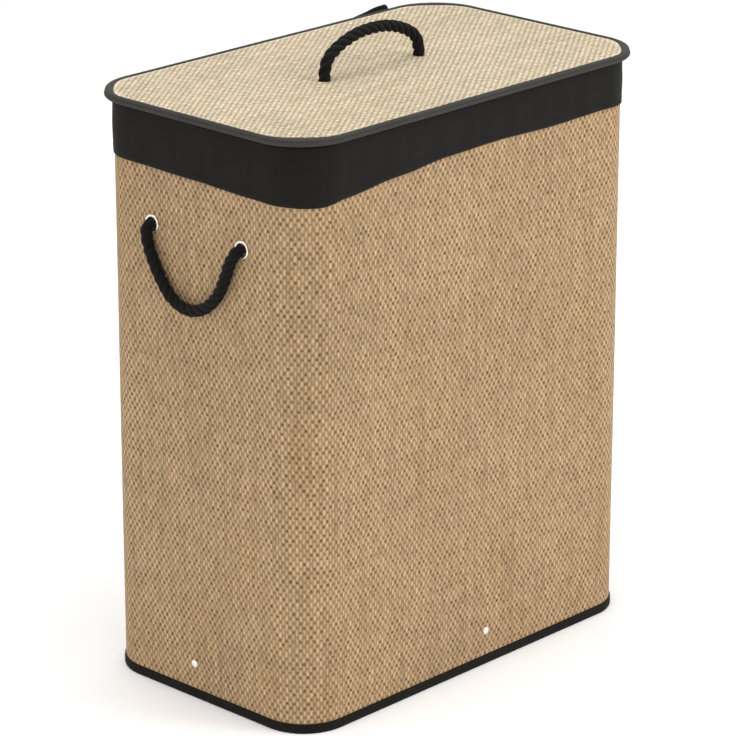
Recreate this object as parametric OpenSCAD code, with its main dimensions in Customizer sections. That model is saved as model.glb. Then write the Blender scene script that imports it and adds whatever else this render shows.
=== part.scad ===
/* [Overall] */
// Width of the woven wall, outside, left to right
body_w = 482; // [380:1:620]
// Depth of the woven wall, outside, front to back
body_d = 282; // [220:1:420]
// Height from the floor to the top of the lid's rim
total_h = 600; // [440:1:800]
// Outside radius of the wall's upright corners
corner_r = 48; // [36:1:90]

/* [Wall] */
// Thickness of the woven straw skin
skin_t = 1.2; // [0.8:0.1:2.5]
// Thickness of the stiff board that backs the skin
board_t = 2.4; // [1.6:0.1:5]
// Thickness of the steel wire in the top and bottom hoops
hoop_d = 4; // [2.5:0.1:6]

/* [Bindings] */
// Thickness of the sewn bottom binding
bottom_bind_t = 1.3; // [0.8:0.1:2.5]
// Height of the bottom binding's outer leg
bottom_bind_h = 10; // [8:0.5:30]
// Thickness of the sewn top binding, under the cuff
top_bind_t = 0.8; // [0.5:0.1:1.5]
// Height of the top binding's legs
top_bind_h = 20; // [12:1:40]

/* [Base] */
// Thickness of the fabric under the base board
base_cover_t = 0.6; // [0.4:0.1:1.5]
// Thickness of the base board
base_board_t = 3; // [2:0.5:8]
// Width of each riveted tab that ties the base to a wall
tab_w = 40; // [20:1:80]
// Length of each leg of a tab
tab_leg = 42; // [38:1:80]
// Thickness of a tab
tab_t = 1; // [0.6:0.1:2]
// Height of the rivets above the floor
rivet_h = 36; // [28:1:44]
// How far the front and back rivets sit to the side of their walls' middles
rivet_shift_w = 18; // [-40:1:40]
// How far the left and right rivets sit to the side of their walls' middles
rivet_shift_d = 12; // [-20:1:20]
// Diameter of a rivet's head
rivet_head_d = 8; // [5:0.5:12]
// Height of a rivet's domed head
rivet_head_h = 1.2; // [0.6:0.1:2.5]
// Diameter of a rivet's shank
rivet_shank_d = 3.2; // [2:0.1:5]
// Diameter of the washer behind a rivet
rivet_washer_d = 10; // [7:0.5:16]
// Thickness of the washer behind a rivet
rivet_washer_t = 0.8; // [0.5:0.1:1.5]

/* [Liner] */
// Thickness of the liner's cloth
liner_t = 0.9; // [0.5:0.1:2]
// Gap between the top binding and the liner inside and over it
liner_gap = 0.1; // [0.05:0.05:1]
// How far the cuff hangs below the top of the wall
cuff_drop = 52; // [30:1:90]
// Gap between the wall and the cuff outside it
cuff_gap = 1.1; // [1:0.1:3]
// Gap between the base tabs and the liner's floor
liner_floor_gap = 0.4; // [0.1:0.1:5]

/* [Lid] */
// How far the rim stands out past the woven wall
rim_overhang = 9; // [6:0.5:16]
// Width of the rim's bead
rim_w = 11.5; // [10.5:0.5:20]
// Height of the rim's bead
rim_h = 9.5; // [9:0.5:16]
// Radius of the rim's rounded outer edges
rim_edge_r = 3.8; // [2:0.1:4.2]
// Width of the rim's upper lip, over the edge of the woven top
rim_lip = 5; // [4.5:0.5:6]
// Thickness of the wire inside the rim
rim_hoop_d = 5; // [3:0.1:5.4]
// Gap between the closed rim and the cuff under it
lid_gap = 0.3; // [0.2:0.1:1]
// How far the woven top lies below the top of the rim
top_recess = 1.6; // [1.2:0.1:2.8]
// Thickness of the lid's board
lid_board_t = 2.6; // [1.6:0.1:3]
// Thickness of the cloth under the lid's board
lining_t = 0.6; // [0.4:0.1:1.2]
// Gap between the edge of the lid's board and the wire in the rim
wire_gap = 1.4; // [1:0.1:3]

/* [Hinge straps] */
// Width of each strap
strap_w = 110; // [60:1:120]
// Distance from the middle of the hamper to the middle of a strap
strap_x = 130; // [80:1:130]
// Thickness of a strap
strap_t = 1; // [0.6:0.1:1]
// Height of a strap's lower leaf
strap_leaf_h = 38; // [20:1:60]
// Height of a strap's upper leaf
strap_lip_h = 7; // [4:0.5:8]
// Gap between a strap's leaf and the piece it is sewn to
strap_gap = 0.05; // [0.02:0.01:0.1]

/* [Rope handles] */
// Thickness of the rope
rope_d = 12; // [8:0.5:14]
// Distance from the top of the body down to the side eyelets
handle_below_top = 110; // [100:1:180]
// Bore of an eyelet
eyelet_bore_d = 11.4; // [7:0.1:14]
// Wall of an eyelet's barrel
eyelet_wall = 0.6; // [0.4:0.1:1]
// Diameter of an eyelet's flange
eyelet_flange_d = 18; // [15:0.5:26]
// Thickness of an eyelet's flange
eyelet_flange_t = 1; // [0.6:0.1:2]
// Diameter of the washers behind the eyelets and under the lid
washer_d = 22; // [18:0.5:26]
// Thickness of the washers behind the eyelets and under the lid
washer_t = 0.8; // [0.5:0.1:1.5]
// Thickness of an eyelet's rolled edge, over its washer
eyelet_roll_t = 0.6; // [0.4:0.1:1]
// Diameter of a rope's knot
knot_d = 26; // [24:0.5:32]
// Height of a rope's knot
knot_h = 15; // [12:0.5:20]
// Gap between a knot and the liner's pocket around it
pocket_gap = 1.5; // [1:0.5:4]
// Gap between the still and the swinging stretch of a rope
swing_gap = 0.25; // [0.1:0.05:1]

/* [Quality] */
// Facets in a full turn of a round surface
facets = 96; // [48:24:144]
// Sides of a rope's tube
rope_sides = 12; // [8:1:12]

/* [Hidden] */

$fn = facets;
eps = 0.05;             // clearance between pieces that touch
cut = 1;                // how far a cutter runs past what it cuts
rivet_tail = 0.4;       // how far a rivet's shank comes through its washer
rivet_head_step = 0.8;  // how much narrower the top half of a rivet's head is
neck_gap = 0.2;         // from an eyelet's face to the end of the still rope in it
roll_w = 1.4;           // how far an eyelet's rolled edge spreads over its washer
flange_step = 0.5;      // the step round the edge of an eyelet's flange
rim_wall = 0.8;         // the rim's skin outside its wire
rim_web = 0.2;          // the rim's skin between its wire and the woven top
skin_tuck = 1;          // how far the woven top reaches under the rim's lip
inner_leg_rise = 1;     // how far the bottom binding's inner leg rises past the hoop
strap_drop = 2;         // from the top of the body down to a strap's lower leaf

// Outward offsets are counted from the outside of the woven wall.
board_out = -skin_t;
board_in = -skin_t - board_t;
hoop_o = board_in - eps - hoop_d / 2;
hoop_in = hoop_o - hoop_d / 2;

// Heights of the bottom edge
wall_z0 = bottom_bind_t + eps;
bottom_hoop_z = wall_z0 + hoop_d / 2;
bottom_inner_h = bottom_hoop_z + hoop_d / 2 + inner_leg_rise;
bottom_bind_in = hoop_in - eps - bottom_bind_t;
rivet_washer_o = board_in - eps - tab_t - rivet_washer_t;
base_cover_z = bottom_inner_h;
base_board_z = base_cover_z + base_cover_t;
tab_z = base_board_z + base_board_t;
liner_z0 = tab_z + tab_t + liner_floor_gap;

// Heights of the top edge
rim_z0 = total_h - rim_h;
body_top = rim_z0 - lid_gap;
top_bind_z1 = body_top - liner_t - liner_gap;
wall_z1 = top_bind_z1 - top_bind_t - eps;
top_hoop_z = wall_z1 - hoop_d / 2;
top_bind_in = hoop_in - eps - top_bind_t;

// The liner's faces
liner_out = min(top_bind_in, bottom_bind_in) - liner_gap;
liner_in = liner_out - liner_t;
cuff_in = cuff_gap;
cuff_out = cuff_gap + liner_t;
cuff_z0 = body_top - cuff_drop;

// The lid's layers, from the top down
rim_in = rim_overhang - rim_w;
lid_top_z = total_h - top_recess;
lid_skin_z = lid_top_z - skin_t;
lid_board_z = lid_skin_z - lid_board_t;
lining_z = lid_board_z - lining_t;
lid_washer_z = lining_z - washer_t;
rim_hoop_o = rim_overhang - rim_wall - rim_hoop_d / 2;
board_reach = rim_hoop_o - rim_hoop_d / 2 - wire_gap;
rim_hoop_z = lid_skin_z - 2 * eps - rim_web - rim_hoop_d / 2;
lip_in = rim_overhang - rim_lip;
skin_reach = lip_in + skin_tuck;

// The eyelets and the ropes
rope_r = rope_d / 2;
eyelet_r = eyelet_bore_d / 2;
barrel_r = eyelet_r + eyelet_wall;
barrel_hole_r = barrel_r + eps;
neck_r = eyelet_r - eps;
neck_out = eyelet_flange_t + neck_gap;
pivot_out = neck_out + swing_gap + rope_r;
eyelet_z = body_top - handle_below_top;
washer_hole_r = barrel_r + eps;
wall_washer_o = board_in - washer_t;
eyelet_roll_o = wall_washer_o - eyelet_roll_t;
knot_o = eyelet_roll_o - knot_h;
lid_pivot_z = lid_top_z + pivot_out - eyelet_flange_t;

// Centreline of a side handle's rope, as [sideways, up] from the middle of its eyelets
side_route = [
    [61, 0], [61, -11], [57.5, -22], [52, -34], [45, -46], [37, -56.5], [27.5, -65.5], [15, -71.5],
    [0, -72.5], [-15, -67.5], [-28.5, -57.5], [-39, -44], [-46.5, -28], [-53, -13], [-61, 0]
];
// Centreline of the lid handle's rope, as [sideways, up] from the middle of its holes
lid_route = [
    [-67, 0], [-65, 7.5], [-61, 14.5], [-53, 20.5], [-41.5, 26], [-27, 30.5], [-13, 32.8],
    [0, 33.3], [13, 32.8], [27, 30.5], [41.5, 26], [53, 20.5], [61, 14.5], [65, 7.5], [67, 0]
];
eyelet_y = side_route[0][0];
lid_hole_x = lid_route[len(lid_route) - 1][0];

// ---------- helpers ----------

// Sweeps a profile, drawn as [outward offset, height], right round the wall
module around() {
    straight_w = body_w - 2 * corner_r;
    straight_d = body_d - 2 * corner_r;
    for (turn = [0, 180]) rotate([0, 0, turn]) {
        translate([0, body_d / 2, 0])
            rotate([90, 0, 90]) linear_extrude(straight_w, center = true) children();
        translate([body_w / 2, 0, 0])
            rotate([90, 0, 0]) linear_extrude(straight_d, center = true) children();
        translate([straight_w / 2, straight_d / 2, 0])
            rotate_extrude(angle = 90) translate([corner_r, 0]) children();
        translate([-straight_w / 2, straight_d / 2, 0])
            rotate([0, 0, 90]) rotate_extrude(angle = 90) translate([corner_r, 0]) children();
    }
}

// A rectangle of a profile, from one offset and height to another
module band(o0, o1, z0, z1) {
    translate([o0, z0]) square([o1 - o0, z1 - z0]);
}

// A flat plate with the wall's outline grown by an offset
module plate(o, z, t) {
    r = corner_r + o;
    w = body_w + 2 * o;
    d = body_d + 2 * o;
    translate([0, 0, z]) linear_extrude(t) union() {
        square([w - 2 * r, d], center = true);
        square([w, d - 2 * r], center = true);
        for (x = [-1, 1], y = [-1, 1])
            translate([x * (w / 2 - r), y * (d / 2 - r)]) circle(r);
    }
}

// Stands its children on a side wall at an eyelet, with +Z outward; side is -1 for left, 1 for right
module at_eyelet(side, y) {
    translate([side * body_w / 2, y, eyelet_z]) rotate([0, side * 90, 0]) children();
}

module at_side_eyelets(side) {
    for (y = [-eyelet_y, eyelet_y]) at_eyelet(side, y) children();
}

// Stands its children on each wall at the middle of its tab, at floor height, with +X outward
module at_tabs() {
    for (turn = [0, 180]) rotate([0, 0, turn]) {
        translate([body_w / 2, -rivet_shift_d, 0]) children();
        translate([-rivet_shift_w, body_d / 2, 0]) rotate([0, 0, 90]) children();
    }
}

// Stands its children on each wall at its rivet, with +Z outward
module at_rivets() {
    at_tabs() translate([0, 0, rivet_h]) rotate([0, 90, 0]) children();
}

module at_lid_holes() {
    for (x = [-lid_hole_x, lid_hole_x]) translate([x, 0, 0]) children();
}

// A round rod along +Z from one height to another
module rod(r, z0, z1) {
    translate([0, 0, z0]) cylinder(r = r, h = z1 - z0);
}

module washer(d, hole_r, z, t) {
    difference() {
        rod(d / 2, z, z + t);
        rod(hole_r, z - cut, z + t + cut);
    }
}

// A disc with a fully rounded rim, from height z up
module knot(d, h, z) {
    translate([0, 0, z + h / 2]) rotate_extrude() union() {
        translate([0, -h / 2]) square([d / 2 - h / 2, h]);
        intersection() {
            translate([d / 2 - h / 2, 0]) circle(h / 2);
            translate([0, -h]) square([d, 2 * h]);
        }
    }
}

function curve(a, b, c, d, t) =
    0.5 * (2 * b + (c - a) * t + (2 * a - 5 * b + 4 * c - d) * t * t + (3 * b - a - 3 * c + d) * t * t * t);

function route_point(route, i) = route[max(0, min(len(route) - 1, i))];

// The route with one more point halfway along each of its stretches
function smooth(route) = [
    for (i = [0 : len(route) - 2], t = [0, 0.5])
        curve(route_point(route, i - 1), route[i], route[i + 1], route_point(route, i + 2), t),
    route[len(route) - 1]
];

function unit(v) = v / norm(v);

function heading(line, i) =
    unit(line[min(len(line) - 1, i + 1)] - line[max(0, i - 1)]);

// One ring of the tube round a point of a line in the XZ plane
function ring(p, along, r) = [
    for (k = [0 : rope_sides - 1])
        let (a = 360 * k / rope_sides)
        [p[0] - along[1] * r * cos(a), r * sin(a), p[1] + along[0] * r * cos(a)]
];

// A rope with rounded ends, swept along a route in the XZ plane
module rope(route) {
    line = smooth(route);
    last = len(line) - 1;
    first_along = heading(line, 0);
    last_along = heading(line, last);
    cap = [80, 50, 22];
    rings = concat(
        [for (a = cap) ring(line[0] - first_along * rope_r * sin(a), first_along, rope_r * cos(a))],
        [for (i = [0 : last]) ring(line[i], heading(line, i), rope_r)],
        [for (k = [2 : -1 : 0])
            ring(line[last] + last_along * rope_r * sin(cap[k]), last_along, rope_r * cos(cap[k]))]
    );
    points = [for (r = rings, p = r) p];
    n = rope_sides;
    count = len(rings);
    polyhedron(
        points = points,
        faces = concat(
            [[for (k = [0 : n - 1]) k]],
            [for (j = [0 : count - 2], k = [0 : n - 1])
                [j * n + k, (j + 1) * n + k, (j + 1) * n + (k + 1) % n, j * n + (k + 1) % n]],
            [[for (k = [n - 1 : -1 : 0]) (count - 1) * n + k]]
        ),
        convexity = 6
    );
}

// ---------- wall ----------

module wall_holes() {
    for (side = [-1, 1]) at_side_eyelets(side) rod(barrel_hole_r, board_in - cut, cut);
    at_rivets() rod(rivet_shank_d / 2, board_in - cut, cut);
}

module wall_board() {
    color("#b9a27c") difference() {
        around() band(board_in, board_out, wall_z0, wall_z1);
        wall_holes();
    }
}

module woven_skin() {
    color("#c2a57b") difference() {
        around() band(board_out, 0, wall_z0, wall_z1);
        wall_holes();
    }
}

module top_hoop() {
    color("#8c8f92") around() translate([hoop_o, top_hoop_z]) circle(hoop_d / 2, $fn = 32);
}

module bottom_hoop() {
    color("#8c8f92") around() translate([hoop_o, bottom_hoop_z]) circle(hoop_d / 2, $fn = 32);
}

// A channel that hangs over the wall's top edge and the hoop inside it
module top_binding() {
    color("#26241f") around() difference() {
        band(top_bind_in, top_bind_t + eps, top_bind_z1 - top_bind_h, top_bind_z1);
        band(top_bind_in + top_bind_t, eps, top_bind_z1 - top_bind_h - cut, top_bind_z1 - top_bind_t);
    }
}

// A channel under the wall's bottom edge and the hoop inside it
module bottom_binding() {
    color("#26241f") around() {
        band(bottom_bind_in, bottom_bind_t + eps, 0, bottom_bind_t);
        band(eps, bottom_bind_t + eps, 0, bottom_bind_h);
        band(bottom_bind_in, bottom_bind_in + bottom_bind_t, 0, bottom_inner_h);
    }
}

// ---------- base ----------

module base_cover() {
    color("#2f2d2a") plate(board_in - eps, base_cover_z, base_cover_t);
}

module base_board() {
    color("#a98f68") plate(board_in - eps, base_board_z, base_board_t);
}

// One angled tab, lying on the base board and rising up a wall; +X is outward from the wall
module tab() {
    translate([board_in - eps - tab_t, -tab_w / 2, tab_z]) cube([tab_t, tab_w, tab_leg]);
    translate([board_in - eps - tab_leg, -tab_w / 2, tab_z]) cube([tab_leg, tab_w, tab_t]);
}

module base_tabs() {
    color("#2f2d2a") difference() {
        at_tabs() tab();
        at_rivets() rod(rivet_shank_d / 2, rivet_washer_o - cut, cut);
    }
}

module base_rivets() {
    color("#d8d6d0") at_rivets() {
        rod(rivet_shank_d / 2, rivet_washer_o - rivet_tail, 0);
        rod(rivet_head_d / 2, 0, rivet_head_h / 2);
        rod(rivet_head_d / 2 - rivet_head_step, rivet_head_h / 2, rivet_head_h);
    }
}

module rivet_washers() {
    color("#b8b8b5") at_rivets()
        washer(rivet_washer_d, rivet_shank_d / 2, rivet_washer_o, rivet_washer_t);
}

// ---------- liner ----------

// Round pockets in the liner where it bulges in over the knots
module pockets(grow, z0) {
    for (side = [-1, 1]) at_side_eyelets(side)
        rod(knot_d / 2 + pocket_gap + grow, knot_o - pocket_gap - grow, z0);
}

module liner_sides() {
    color("#3a3733") difference() {
        union() {
            around() band(liner_in, liner_out, liner_z0, body_top);
            pockets(liner_t, liner_out);
        }
        pockets(0, liner_out + cut);
    }
}

module liner_floor() {
    color("#3a3733") plate(liner_in - eps, liner_z0, liner_t);
}

module liner_cuff() {
    color("#2b2a28") around() {
        band(liner_out + eps, cuff_out, body_top - liner_t, body_top);
        band(cuff_in, cuff_out, cuff_z0, body_top);
    }
}

// ---------- side handle hardware ----------

// A rolled eyelet: flange outside, barrel through the wall, rolled edge over the washer inside
module handle_eyelets() {
    color("#d8d6d0") for (side = [-1, 1]) at_side_eyelets(side) rotate_extrude() {
        difference() {
            translate([eyelet_r, 0]) square([eyelet_flange_d / 2 - eyelet_r, eyelet_flange_t]);
            translate([eyelet_flange_d / 2 - flange_step, eyelet_flange_t - flange_step]) square(cut);
        }
        translate([eyelet_r, eyelet_roll_o]) square([eyelet_wall, -eyelet_roll_o]);
        translate([eyelet_r, eyelet_roll_o]) square([eyelet_wall + roll_w, eyelet_roll_t]);
    }
}

module eyelet_washers() {
    color("#b8b8b5") for (side = [-1, 1]) at_side_eyelets(side)
        washer(washer_d, washer_hole_r, wall_washer_o, washer_t);
}

// The still stretch of rope through an eyelet, and the knot that stops it inside
module rope_anchor(neck_top, knot_top) {
    rod(neck_r, knot_top - knot_h / 2, neck_top);
    knot(knot_d, knot_h, knot_top - knot_h);
}

module left_handle_knots() {
    color("#191817") at_side_eyelets(-1) rope_anchor(neck_out, eyelet_roll_o);
}

module right_handle_knots() {
    color("#191817") at_side_eyelets(1) rope_anchor(neck_out, eyelet_roll_o);
}

// ---------- lid ----------

module lid_holes() {
    at_lid_holes() rod(neck_r + eps, lining_z - cut, lid_top_z + cut);
}

module lid_board() {
    color("#b9a27c") difference() {
        plate(board_reach, lid_board_z, lid_board_t);
        lid_holes();
    }
}

module lid_woven_top() {
    color("#dccdae") difference() {
        plate(skin_reach, lid_skin_z, skin_t);
        lid_holes();
    }
}

module lid_lining() {
    color("#3a3733") difference() {
        plate(board_reach, lining_z, lining_t);
        lid_holes();
    }
}

module lid_rim_hoop() {
    color("#8c8f92") around() translate([rim_hoop_o, rim_hoop_z]) circle(rim_hoop_d / 2, $fn = 32);
}

// A rounded bead round the wire, slotted for the lid's layers, with a lip over the woven top's edge
module lid_rim_binding() {
    r = rim_edge_r;
    color("#4b4a46") around() difference() {
        union() {
            band(rim_in, rim_overhang - r, rim_z0, total_h);
            band(rim_in + cut, rim_overhang, rim_z0 + r, total_h - r);
            for (z = [rim_z0 + r, total_h - r]) translate([rim_overhang - r, z]) circle(r, $fn = 48);
        }
        band(rim_in - cut, board_reach + eps, lining_z - eps, lid_skin_z);
        band(rim_in - cut, skin_reach + eps, lid_skin_z - eps, lid_top_z);
        band(rim_in - cut, lip_in, lid_skin_z, total_h + cut);
        translate([rim_hoop_o, rim_hoop_z]) circle(rim_hoop_d / 2 + eps, $fn = 32);
    }
}

module lid_washers() {
    color("#b8b8b5") at_lid_holes() washer(washer_d, neck_r + eps, lid_washer_z, washer_t);
}

module lid_handle_knots() {
    color("#191817") at_lid_holes()
        rope_anchor(lid_top_z + neck_out - eyelet_flange_t, lid_washer_z);
}

// ---------- hinge straps ----------

// A flat leaf of strap behind the hamper
module leaf(y, z, h) {
    for (x = [-strap_x, strap_x])
        translate([x - strap_w / 2, y, z]) cube([strap_w, strap_t, h]);
}

module hinge_straps_lower() {
    color("#1d1c1a")
        leaf(body_d / 2 + cuff_out + strap_gap, body_top - strap_drop - strap_leaf_h, strap_leaf_h);
}

module hinge_straps_upper() {
    color("#1d1c1a")
        leaf(body_d / 2 + rim_overhang + strap_gap, rim_z0 + (rim_h - strap_lip_h) / 2, strap_lip_h);
}

// ---------- rope handles ----------

module lid_handle_rope() {
    color("#141312") translate([0, 0, lid_pivot_z]) rope(lid_route);
}

module side_handle_rope(side) {
    color("#141312") translate([side * (body_w / 2 + pivot_out), 0, eyelet_z])
        rotate([0, 0, 90]) rope(side_route);
}

module left_handle_rope() {
    side_handle_rope(-1);
}

module right_handle_rope() {
    side_handle_rope(1);
}

// ---------- nodes ----------

wall_board();
woven_skin();
top_hoop();
bottom_hoop();
top_binding();
bottom_binding();
base_cover();
base_board();
base_tabs();
base_rivets();
rivet_washers();
liner_sides();
liner_floor();
liner_cuff();
handle_eyelets();
eyelet_washers();
left_handle_knots();
right_handle_knots();
hinge_straps_lower();
lid_board();
lid_woven_top();
lid_lining();
lid_rim_hoop();
lid_rim_binding();
lid_washers();
lid_handle_knots();
hinge_straps_upper();
lid_handle_rope();
left_handle_rope();
right_handle_rope();
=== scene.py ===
"""Laundry hamper with a lid: the looks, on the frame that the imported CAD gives. Everything is in metres."""

import math

import bpy
import numpy as np
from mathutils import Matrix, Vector


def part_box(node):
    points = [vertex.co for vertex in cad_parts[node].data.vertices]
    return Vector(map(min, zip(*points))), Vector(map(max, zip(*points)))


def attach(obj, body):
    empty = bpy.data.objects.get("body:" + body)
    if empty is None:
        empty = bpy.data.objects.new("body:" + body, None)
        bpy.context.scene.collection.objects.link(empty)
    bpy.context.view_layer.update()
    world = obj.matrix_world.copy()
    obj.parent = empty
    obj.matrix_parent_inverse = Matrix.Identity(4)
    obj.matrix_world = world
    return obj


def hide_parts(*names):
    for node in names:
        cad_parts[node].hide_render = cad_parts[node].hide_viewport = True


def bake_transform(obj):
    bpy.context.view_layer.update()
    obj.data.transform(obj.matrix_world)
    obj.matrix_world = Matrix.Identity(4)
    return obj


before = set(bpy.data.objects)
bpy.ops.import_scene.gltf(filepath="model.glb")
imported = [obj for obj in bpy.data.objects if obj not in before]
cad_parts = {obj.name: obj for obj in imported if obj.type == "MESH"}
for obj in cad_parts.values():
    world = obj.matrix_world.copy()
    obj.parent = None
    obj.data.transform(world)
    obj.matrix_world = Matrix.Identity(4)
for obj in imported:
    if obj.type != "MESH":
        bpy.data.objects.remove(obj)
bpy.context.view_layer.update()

MM = 0.001
TAU = 2 * math.pi

# ---------- the frame's own places ----------

WALL_LOW, WALL_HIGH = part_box("woven_skin")
RIM_LOW, RIM_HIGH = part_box("lid_rim_binding")
LID_LOW, LID_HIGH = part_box("lid_woven_top")
CUFF_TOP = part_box("liner_cuff")[1][2]
LINER_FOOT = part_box("liner_sides")[0][2]
BINDING_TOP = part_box("bottom_binding")[1][2]
EYELET_LOW, EYELET_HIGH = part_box("handle_eyelets")
RIVET_LOW, RIVET_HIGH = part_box("base_rivets")
HALF_W, HALF_D = WALL_HIGH[0], WALL_HIGH[1]
CORNER_R = 48 * MM
EYELET_Z = (EYELET_LOW[2] + EYELET_HIGH[2]) / 2
RIVET_Z = (RIVET_LOW[2] + RIVET_HIGH[2]) / 2
RIVET_SHIFT_W, RIVET_SHIFT_D = 18 * MM, 12 * MM
ROPE_D = 12 * MM
EYELET_Y, LID_HOLE_X = 61 * MM, 67 * MM


# ---------- camera ----------


def make_camera():
    """The photograph's view: from the front left, about 20 degrees above the level."""
    data = bpy.data.cameras.new("Camera")
    data.lens, data.sensor_width = 183.95, 36
    data.clip_start, data.clip_end = 0.1, 100
    camera = bpy.data.objects.new("Camera", data)
    bpy.context.scene.collection.objects.link(camera)
    camera.location = (-2.5831, -2.4593, 1.5474)
    looks = Vector((0.68209, 0.65089, -0.3333))
    camera.rotation_mode = "QUATERNION"
    camera.rotation_quaternion = looks.to_track_quat("-Z", "Y")
    bpy.context.scene.camera = camera


make_camera()


# ---------- mesh helpers ----------


def new_object(name, points, faces, uv=None, material=None, smooth=True):
    """A mesh object; uv holds one (u, v) for each corner of each face, in order."""
    mesh = bpy.data.meshes.new(name)
    mesh.from_pydata([tuple(p) for p in points], [], [tuple(f) for f in faces])
    if uv is not None:
        layer = mesh.uv_layers.new(name="Cloth")
        layer.data.foreach_set("uv", np.asarray(uv, np.float32).ravel())
    mesh.polygons.foreach_set("use_smooth", [smooth] * len(mesh.polygons))
    mesh.update()
    obj = bpy.data.objects.new(name, mesh)
    bpy.context.scene.collection.objects.link(obj)
    if material:
        mesh.materials.append(material)
    return obj


def grid_mesh(name, rows, u, v, material, wrap=False, close=False):
    """A sheet through rows of points. u and v give each point's place on the cloth, in metres.
    wrap joins each row's end to its start, and close joins the last row to the first."""
    rows = np.asarray(rows, float)
    m, n = rows.shape[:2]
    u, v = np.broadcast_to(u, (m, n + 1 if wrap else n)), np.broadcast_to(v, (m, n + 1 if wrap else n))
    faces, uv = [], []
    for i in range(m if close else m - 1):
        for k in range(n if wrap else n - 1):
            j, l = (i + 1) % m, (k + 1) % n
            faces.append((i * n + k, i * n + l, j * n + l, j * n + k))
            uv += [(u[a, b], v[a, b]) for a, b in ((i, k), (i, k + 1), (j, k + 1), (j, k))]
    return new_object(name, rows.reshape(-1, 3), faces, uv, material)


def thicken(obj, thickness, offset=0.0):
    """Gives a sheet its thickness."""
    solid = obj.modifiers.new("Thickness", "SOLIDIFY")
    solid.thickness, solid.offset, solid.use_even_offset = thickness, offset, True
    return obj


class Loop:
    """The wall's outline seen from above: points, outward directions and distance along it, from the
    middle of the back, by way of the left side, the front and the right side."""

    def __init__(self, straight_step, corner_steps):
        w, d, r = HALF_W - CORNER_R, HALF_D - CORNER_R, CORNER_R
        sides = [((0, d + r), (-w, d + r)), ((-w - r, d), (-w - r, -d)), ((-w, -d - r), (w, -d - r)),
                 ((w + r, -d), (w + r, d)), ((w, d + r), (0, d + r))]
        turns = [((-w, d), 90), ((-w, -d), 180), ((w, -d), 270), ((w, d), 0)]
        points, outs, along, run = [], [], [], 0.0
        for k, (a, b) in enumerate(sides):
            a, b = np.array(a), np.array(b)
            length = float(np.linalg.norm(b - a))
            steps = max(1, round(length / straight_step))
            way = (b - a) / length
            out = np.array([way[1], -way[0]])
            for i in range(steps):
                points.append(a + (b - a) * i / steps)
                outs.append(out)
                along.append(run + length * i / steps)
            run += length
            if k < 4:
                centre, start = turns[k]
                for i in range(corner_steps):
                    t = math.radians(start + 90 * i / corner_steps)
                    out = np.array([math.cos(t), math.sin(t)])
                    points.append(np.array(centre) + r * out)
                    outs.append(out)
                    along.append(run + r * math.pi / 2 * i / corner_steps)
                run += r * math.pi / 2
        self.points, self.outs = np.array(points), np.array(outs)
        self.outs *= np.sign((self.points * self.outs).sum(1))[:, None]
        self.along, self.total = np.array(along), run
        self.n = len(points)
        self.u = np.append(self.along, run)

    def row(self, out, z):
        """A row of points at an outward offset and a height, each one number or one for each point."""
        out, z = np.broadcast_to(out, self.n), np.broadcast_to(z, self.n)
        p = self.points + self.outs * out[:, None]
        return np.column_stack([p, z])


def ripple(t, waves, seed):
    """A smooth repeating noise of about unit size. t from 0 to 1 is one round, and each of the waves is a whole
    number of cycles in it."""
    rng = np.random.default_rng(seed)
    out = np.zeros_like(np.asarray(t, float))
    for w in waves:
        out += np.sin(TAU * (w * np.asarray(t) + rng.random())) * (0.6 + 0.8 * rng.random())
    return out / math.sqrt(len(waves))


def smoothstep(x, low, high):
    t = np.clip((np.asarray(x, float) - low) / (high - low), 0, 1)
    return t * t * (3 - 2 * t)


def distances(line):
    """How far along the line each of its points is."""
    return np.concatenate([[0], np.cumsum(np.linalg.norm(np.diff(line, axis=0), axis=1))])


def point_at(line, run, at):
    return np.array([np.interp(at, run, line[:, k]) for k in range(3)])


def spline(points, step):
    """A smooth line through the given points, with points about step apart."""
    p = np.array(points, float)
    p = np.array([2 * p[0] - p[1], *p, 2 * p[-1] - p[-2]])
    line = []
    for i in range(1, len(p) - 2):
        a, b, c, d = p[i - 1 : i + 3]
        steps = max(2, int(np.linalg.norm(c - b) / step * 2))
        for t in np.linspace(0, 1, steps, endpoint=False):
            squared, cubed = 2 * a - 5 * b + 4 * c - d, 3 * b - a - 3 * c + d
            line.append(0.5 * (2 * b + (c - a) * t + squared * t**2 + cubed * t**3))
    line.append(p[-2])
    line = np.array(line)
    run = distances(line)
    at = np.linspace(0, run[-1], int(run[-1] / step) + 2)
    return np.column_stack([np.interp(at, run, line[:, k]) for k in range(3)])


def frames_along(line, closed=False):
    """Directions along a line and two across it, turning as little as they can."""
    way = np.roll(line, -1, 0) - np.roll(line, 1, 0) if closed else np.gradient(line, axis=0)
    way /= np.linalg.norm(way, axis=1)[:, None]
    side = np.cross(way[0], (0, 0, 1.0) if abs(way[0][2]) < 0.9 else (1.0, 0, 0))
    sides = []
    for w in way:
        side = side - w * (side @ w)
        side /= np.linalg.norm(side)
        sides.append(side)
    sides = np.array(sides)
    return way, sides, np.cross(way, sides)


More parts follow.
